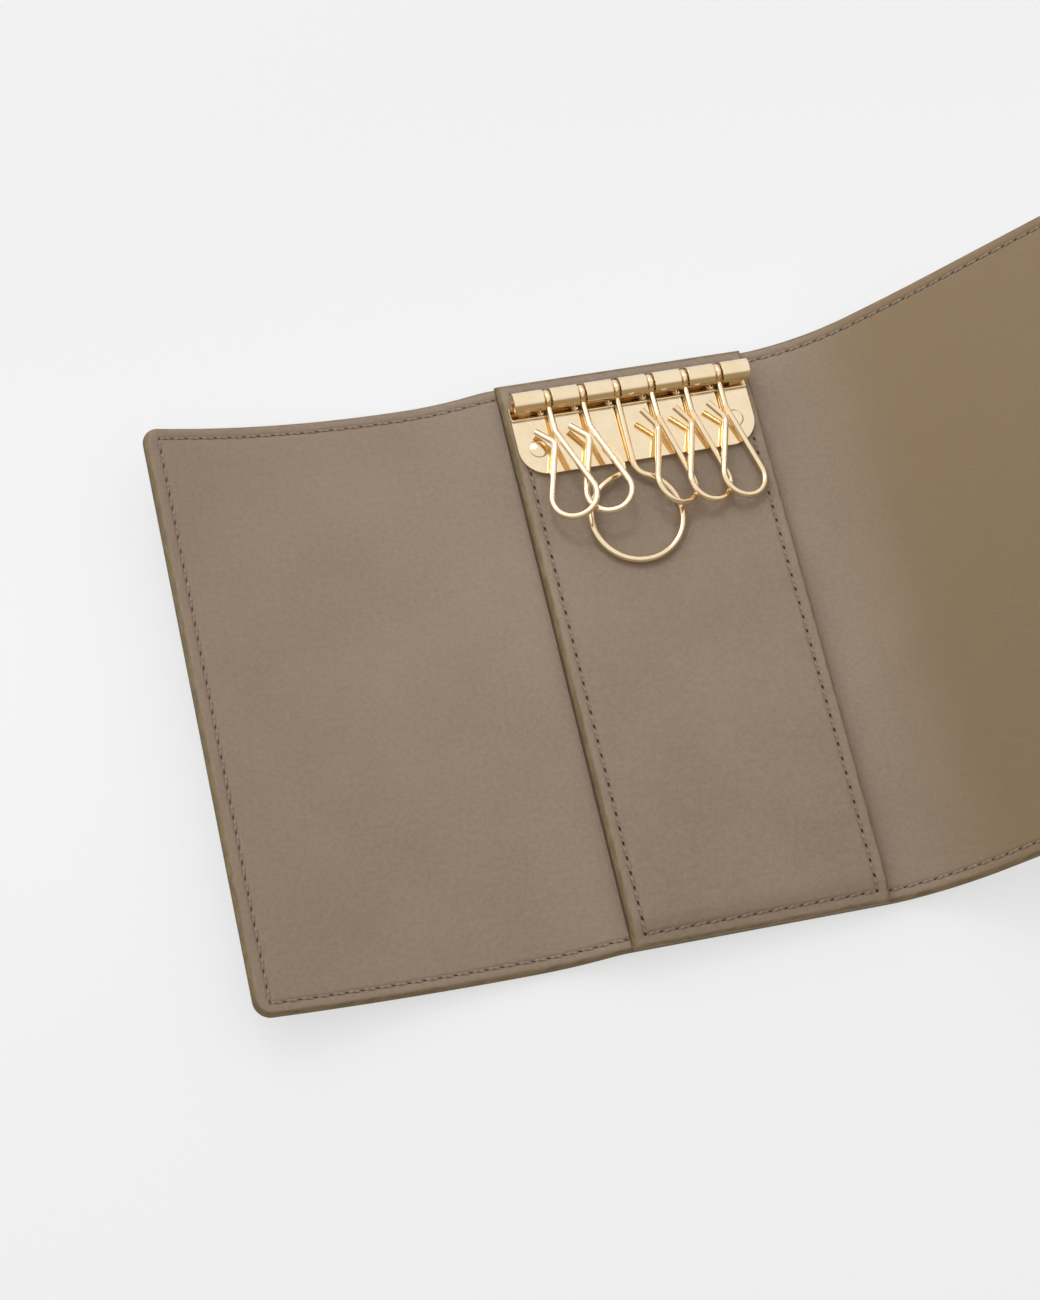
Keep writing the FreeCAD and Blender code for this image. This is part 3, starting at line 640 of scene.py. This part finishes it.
def panel_sheet():
    """The raised key panel: a rounded left edge, a square right one, thin ends and a seam all round."""
    left_insets = edge_insets(PANEL_ROUND_LEFT, PANEL_SEAM_LEFT)
    right_insets = edge_insets(PANEL_ROUND_RIGHT, PANEL_SEAM_RIGHT)
    end_insets = edge_insets(PANEL_ROUND_END, PANEL_SEAM_END)
    columns = edged_stops(-PANEL_HALF, left_insets, PANEL_RIGHT, right_insets, FLAT_STEP)
    rows = edged_stops(-CASE_HALF, end_insets, CASE_HALF, end_insets, CURVE_STEP)
    x, y = np.meshgrid(columns, rows, indexing="ij")
    from_left = x + PANEL_HALF
    from_right = PANEL_RIGHT - x
    from_end = CASE_HALF - np.abs(y)
    long_seams = np.minimum(from_left - PANEL_SEAM_LEFT, from_right - PANEL_SEAM_RIGHT)
    inside = np.minimum(long_seams, from_end - PANEL_SEAM_END)
    rim = np.minimum.reduce([from_left + PANEL_BARE_LEFT, from_right + PANEL_BARE_RIGHT, from_end])
    height = panel_height(x, y) - seam_dip(inside)
    flat = np.stack([np.concatenate([a.ravel(), b.ravel()]) for a, b in
                     ((x, x), (y, y), (height, np.zeros_like(x)))], axis=1)
    shown = np.arange(x.size).reshape(x.shape)
    faces = grid_faces(shown, False) + grid_faces(shown + x.size, True)
    loop = np.concatenate([shown[:, 0], shown[-1, 1:], shown[-2::-1, -1], shown[0, -2:0:-1]])
    for first, second in zip(loop, np.roll(loop, -1)):
        faces.append([first + x.size, second + x.size, second, first])
    piece, used = mesh_piece("key_panel_leather", on_back(*flat.T), faces, lining_leather)
    keep_values(piece, "rim", np.tile(rim.ravel(), 2)[used])
    keep_values(piece, "from_seam", np.tile(inside.ravel(), 2)[used])
    keep_values(piece, "underside_shade_depth", (panel_thickness(flat[:, 1]) - flat[:, 2])[used])
    keep_flat(piece, flat[used])
    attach(piece, "case_back")
    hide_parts("key_panel", "panel_board")


# Thread

def seam_holes(start, stop):
    """Needle holes along a straight seam on the flat leather."""
    length = math.dist(start, stop)
    count = round(length / STITCH_PITCH)
    share = np.linspace(0, 1, count + 1)[:, None]
    return np.array(start) + (np.array(stop) - np.array(start)) * share


def stitch_flat(holes, base, facing):
    """Thread from hole to hole: each strand rises from one hole, lies slanting, and sinks in the next."""
    first = holes[:-1, None, None, :]
    step = (holes[1:] - holes[:-1])[:, None, None, :]
    direction = step / np.linalg.norm(step, axis=-1, keepdims=True)
    beside = np.stack([-direction[..., 1], direction[..., 0]], axis=-1)
    t = np.linspace(0, 1, THREAD_RINGS)[None, :, None]
    turn = np.linspace(0, 2 * math.pi, THREAD_SIDES, endpoint=False)[None, None, :]
    arch = (THREAD_SINK + THREAD_CROWN) * np.sin(math.pi * t) ** THREAD_ARCH_POWER - THREAD_SINK
    lateral = THREAD_RADIUS * np.cos(turn) + STITCH_SLANT * (t - 0.5)
    plan = first + step * t[..., None] + beside * lateral[..., None]
    round_height = THREAD_RADIUS * THREAD_FLAT_SHARE * np.sin(turn)
    height = base + facing * (arch + round_height) + np.zeros(plan.shape[:-1])
    flat = np.concatenate([plan, height[..., None]], axis=-1)
    twist = np.broadcast_to(turn + THREAD_TURNS * 2 * math.pi * t, height.shape)
    return flat, twist


def strand_faces(count):
    """Faces of many closed strands, each of a few rings."""
    faces = []
    for strand in range(count):
        base = strand * THREAD_RINGS * THREAD_SIDES
        for ring in range(THREAD_RINGS - 1):
            for k in range(THREAD_SIDES):
                a = base + ring * THREAD_SIDES + k
                b = base + ring * THREAD_SIDES + (k + 1) % THREAD_SIDES
                faces.append([a, b, b + THREAD_SIDES, a + THREAD_SIDES])
        faces.append([base + k for k in range(THREAD_SIDES)][::-1])
        faces.append([base + (THREAD_RINGS - 1) * THREAD_SIDES + k for k in range(THREAD_SIDES)])
    return faces


def mark_flat(holes, base, facing, mark):
    """Needle marks: small dark slits of painted shade, slanted across the seam."""
    length, width, slant, aside = mark
    step = np.diff(holes, axis=0, append=2 * holes[-1:] - holes[-2:-1])
    direction = step / np.linalg.norm(step, axis=1, keepdims=True)
    beside = np.stack([-direction[:, 1], direction[:, 0]], axis=1)
    long_way = direction * math.cos(slant) + beside * math.sin(slant)
    short_way = np.stack([-long_way[:, 1], long_way[:, 0]], axis=1)
    turn = np.linspace(0, 2 * math.pi, MARK_SIDES, endpoint=False)[None, :, None]
    plan = (holes + beside * aside)[:, None, :] + length / 2 * np.cos(turn) * long_way[:, None, :]
    plan = plan + width / 2 * np.sin(turn) * short_way[:, None, :]
    height = np.full(plan.shape[:-1], base + facing * MARK_LIFT)
    return np.concatenate([plan, height[..., None]], axis=-1)


def sew(name, lay, seams, base, facing):
    """Thread and needle holes of some seams, laid on the leather by a function of flat places."""
    strands, twists, slits = [], [], []
    for holes, mark in seams:
        flat, twist = stitch_flat(holes, base, facing)
        strands.append(flat.reshape(-1, 3))
        twists.append(twist.ravel())
        slits.append(mark_flat(holes, base, facing, mark).reshape(-1, 3))
    flat = np.concatenate(strands)
    count = len(flat) // (THREAD_RINGS * THREAD_SIDES)
    piece, used = mesh_piece(f"{name}_thread", lay(*flat.T), strand_faces(count), sewing_thread)
    keep_values(piece, "twist", np.concatenate(twists)[used])
    keep_flat(piece, flat[used])
    flat = np.concatenate(slits)
    rings = np.arange(len(flat)).reshape(-1, MARK_SIDES).tolist()
    marks, used = mesh_piece(f"{name}_marks", lay(*flat.T), rings, hole_shade, smooth=False)
    keep_flat(marks, flat[used])
    return piece, marks


def sew_case():
    """The seam round the case, seen on its inside and its outside."""
    seam_y = CASE_HALF - SEAM_INSET
    for side in (left, right):
        end = side.length - END_SEAM_INSET
        start = SEAM_WIDTH + (PANEL_RIGHT if side is right else PANEL_HALF)
        rows = [seam_holes((start, sign * seam_y), (end, sign * seam_y)) for sign in (1, -1)]
        tip = seam_holes((end, -seam_y), (end, seam_y))
        for which, part in enumerate((side.spine, side.flap)):
            seams = []
            for row in rows:
                on_part = (row[:, 0] > side.split) == bool(which)
                if which:
                    on_part[np.argmax(on_part) - 1] = True
                seams.append((row[on_part], SIDE_SHADE_MARK))
            if which:
                seams.append((tip, SIDE_SHADE_MARK))
            for face, base, facing in (("inside", -SEAM_DEPTH, 1), ("outside", SEAM_DEPTH - STACK, -1)):
                for piece in sew(f"{part}_{face}", side.place, seams, base, facing):
                    cross_fold(piece, side, which)


def on_panel(x, y, height):
    """A point over the key panel's face."""
    return on_back(x, y, panel_height(x, y) + height)


def sew_panel():
    """The seams round the key panel, and the case's seam behind it."""
    left_x = PANEL_SEAM_LEFT - PANEL_HALF
    right_x = PANEL_RIGHT - PANEL_SEAM_RIGHT
    end_y = CASE_HALF - PANEL_SEAM_END
    long_seams = ((left_x, OPEN_MARK), (right_x, SMALL_MARK))
    seams = [(seam_holes((x, end_y), (x, -end_y)), mark) for x, mark in long_seams]
    seams += [(seam_holes((left_x, y), (right_x, y)), SIDE_SHADE_MARK) for y in (-end_y, end_y)]
    for piece in sew("key_panel", on_panel, seams, -SEAM_DEPTH, 1):
        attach(piece, "case_back")
    seam_y = CASE_HALF - SEAM_INSET
    rows = [seam_holes((-PANEL_HALF, sign * seam_y), (PANEL_HALF, sign * seam_y)) for sign in (-1, 1)]
    outside = [(row, SIDE_SHADE_MARK) for row in rows]
    for piece in sew("back_outside", on_back, outside, SEAM_DEPTH - STACK, -1):
        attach(piece, "case_back")


# Metal

def dress_metal():
    """Give the solid metal pieces their finish."""
    shiny = ["key_bar", "hook_rod", "bar_rivets", "key_ring_hook"]
    shiny += [f"key_hook_{number}" for number in (1, 2, 4, 5, 6)]
    finishes = [(shiny, gold), (["snap_stud", "snap_socket", "snap_cap"], snap_metal),
                (["stud_post", "rivet_washers"], hidden_metal)]
    for names, material in finishes:
        for name in names:
            mesh = frame["nodes"][name].data
            mesh.materials.clear()
            mesh.materials.append(material)


# Floor
FLOOR_SIZE = 3.0
FLOOR_GAP = 0.05 * MM
FLOOR_COLOUR = (0.875, 0.875, 0.875, 1)
FLOOR_WHITE = (0.915, 0.92, 0.93, 1)
FLOOR_WHITE_SHARE = 0.66


def floor_paper():
    """White paper with a pale shadow: looked at or mirrored, a share of it is an even white."""
    shader = Shader("floor_paper")
    paper = shader.finish(Base_Color=FLOOR_COLOUR, Roughness=0.9, Specular_IOR_Level=0.1)
    rays = shader.node("ShaderNodeLightPath").outputs
    mirrored = shader.math("MAXIMUM", rays["Is Glossy Ray"], rays["Is Transmission Ray"])
    seen = shader.math("MAXIMUM", rays["Is Camera Ray"], mirrored)
    white = shader.node("ShaderNodeEmission", {"Color": FLOOR_WHITE}).outputs[0]
    share = shader.math("MULTIPLY", seen, FLOOR_WHITE_SHARE)
    body = shader.principled.outputs[0]
    mixed = shader.node("ShaderNodeMixShader", {0: share, 1: body, 2: white}).outputs[0]
    shader.tree.links.new(mixed, shader.tree.nodes["Material Output"].inputs["Surface"])
    return paper


def floor():
    """A plain paper floor just under the case."""
    bpy.ops.mesh.primitive_plane_add(size=FLOOR_SIZE, location=(0, 0, -FLOOR_GAP))
    plane = bpy.context.object
    plane.name = "floor"
    plane.data.materials.append(floor_paper())


def area_light(name, place, target, size, power, spread):
    """A rectangular lamp that shines on a target."""
    lamp = bpy.data.lights.new(name, "AREA")
    lamp.shape = "RECTANGLE"
    lamp.size, lamp.size_y = size
    lamp.energy = power
    lamp.spread = spread
    made = bpy.data.objects.new(name, lamp)
    made.location = place
    made.rotation_mode = "QUATERNION"
    made.rotation_quaternion = (Vector(target) - Vector(place)).to_track_quat("-Z", "Y")
    bpy.context.scene.collection.objects.link(made)


# Light, in metres and watts: the sky's two tones and where they meet, a window and a gridded softbox
SKY_LOW = (0.36, 0.29, 0.19, 1)
SKY_HIGH = (0.95, 0.95, 0.95, 1)
SKY_LEAN = (-0.12, 0.55, 0.83)
SKY_START = 0.13
SKY_END = 0.54
WINDOW_PLACE = (-0.25, 0.45, 0.42)
WINDOW_SIZE = (0.4, 0.4)
WINDOW_POWER = 0.75
WINDOW_SPREAD = math.radians(180.0)
SOFTBOX_PLACE = (-0.03, 0.25, 0.35)
SOFTBOX_TARGET = (-0.01, 0.022, 0.0)
SOFTBOX_SIZE = (0.36, 0.08)
SOFTBOX_SPREAD = math.radians(18.5)
SOFTBOX_POWER = 0.0155


def lights():
    """A soft sky, dark on the viewer's side, a window at the left, and a softbox behind the case."""
    world = bpy.data.worlds.new("studio")
    world.use_nodes = True
    nodes, links = world.node_tree.nodes, world.node_tree.links
    spot = nodes.new("ShaderNodeTexCoord")
    lean = nodes.new("ShaderNodeVectorMath")
    lean.operation = "DOT_PRODUCT"
    lean.inputs[1].default_value = SKY_LEAN
    links.new(spot.outputs["Generated"], lean.inputs[0])
    rise = nodes.new("ShaderNodeMapRange")
    rise.interpolation_type = "SMOOTHSTEP"
    rise.inputs["From Min"].default_value = SKY_START
    rise.inputs["From Max"].default_value = SKY_END
    links.new(lean.outputs["Value"], rise.inputs["Value"])
    sky = nodes.new("ShaderNodeMix")
    sky.data_type = "RGBA"
    sky.inputs[6].default_value = SKY_LOW
    sky.inputs[7].default_value = SKY_HIGH
    links.new(rise.outputs[0], sky.inputs[0])
    links.new(sky.outputs[2], nodes["Background"].inputs["Color"])
    bpy.context.scene.world = world
    area_light("window", WINDOW_PLACE, (0, 0, 0), WINDOW_SIZE, WINDOW_POWER, WINDOW_SPREAD)
    area_light("softbox", SOFTBOX_PLACE, SOFTBOX_TARGET, SOFTBOX_SIZE, SOFTBOX_POWER, SOFTBOX_SPREAD)


# The view from the middle of the key panel's face, in radians and in pixels of the photo
VIEW_TURN = -0.5327355
VIEW_HEIGHT = 1.1693475
VIEW_ROLL = 0.3306906
FOCAL_PIXELS = 3400.96
MIDDLE_PIXELS = (166.8, -13.9)
VIEW_DISTANCE = 585.068 * MM
IMAGE_LONG_SIDE = 1300
SENSOR = 36.0


def camera():
    """The camera, at the photo's viewing angle."""
    back = Vector((
        math.sin(VIEW_TURN) * math.cos(VIEW_HEIGHT),
        -math.cos(VIEW_TURN) * math.cos(VIEW_HEIGHT),
        math.sin(VIEW_HEIGHT),
    ))
    level_right = (-back).cross(Vector((0, 0, 1))).normalized()
    level_up = level_right.cross(-back)
    x_axis = level_right * math.cos(VIEW_ROLL) + level_up * math.sin(VIEW_ROLL)
    y_axis = -level_right * math.sin(VIEW_ROLL) + level_up * math.cos(VIEW_ROLL)
    place = back * VIEW_DISTANCE
    place -= x_axis * (MIDDLE_PIXELS[0] * VIEW_DISTANCE / FOCAL_PIXELS)
    place += y_axis * (MIDDLE_PIXELS[1] * VIEW_DISTANCE / FOCAL_PIXELS)
    own = Matrix((x_axis, y_axis, back)).transposed().to_4x4()
    own.translation = place
    panel = Matrix((across, along, up)).transposed().to_4x4()
    panel.translation = back_middle + up * PANEL_THICKNESS
    lens = bpy.data.cameras.new("camera")
    lens.sensor_width = SENSOR
    lens.lens = FOCAL_PIXELS * SENSOR / IMAGE_LONG_SIDE
    made = bpy.data.objects.new("camera", lens)
    made.matrix_world = panel @ own
    bpy.context.scene.collection.objects.link(made)
    bpy.context.scene.camera = made


case_sheets()
panel_sheet()
sew_case()
sew_panel()
dress_metal()
floor()
lights()
camera()

bpy.context.scene.view_settings.view_transform = "Standard"
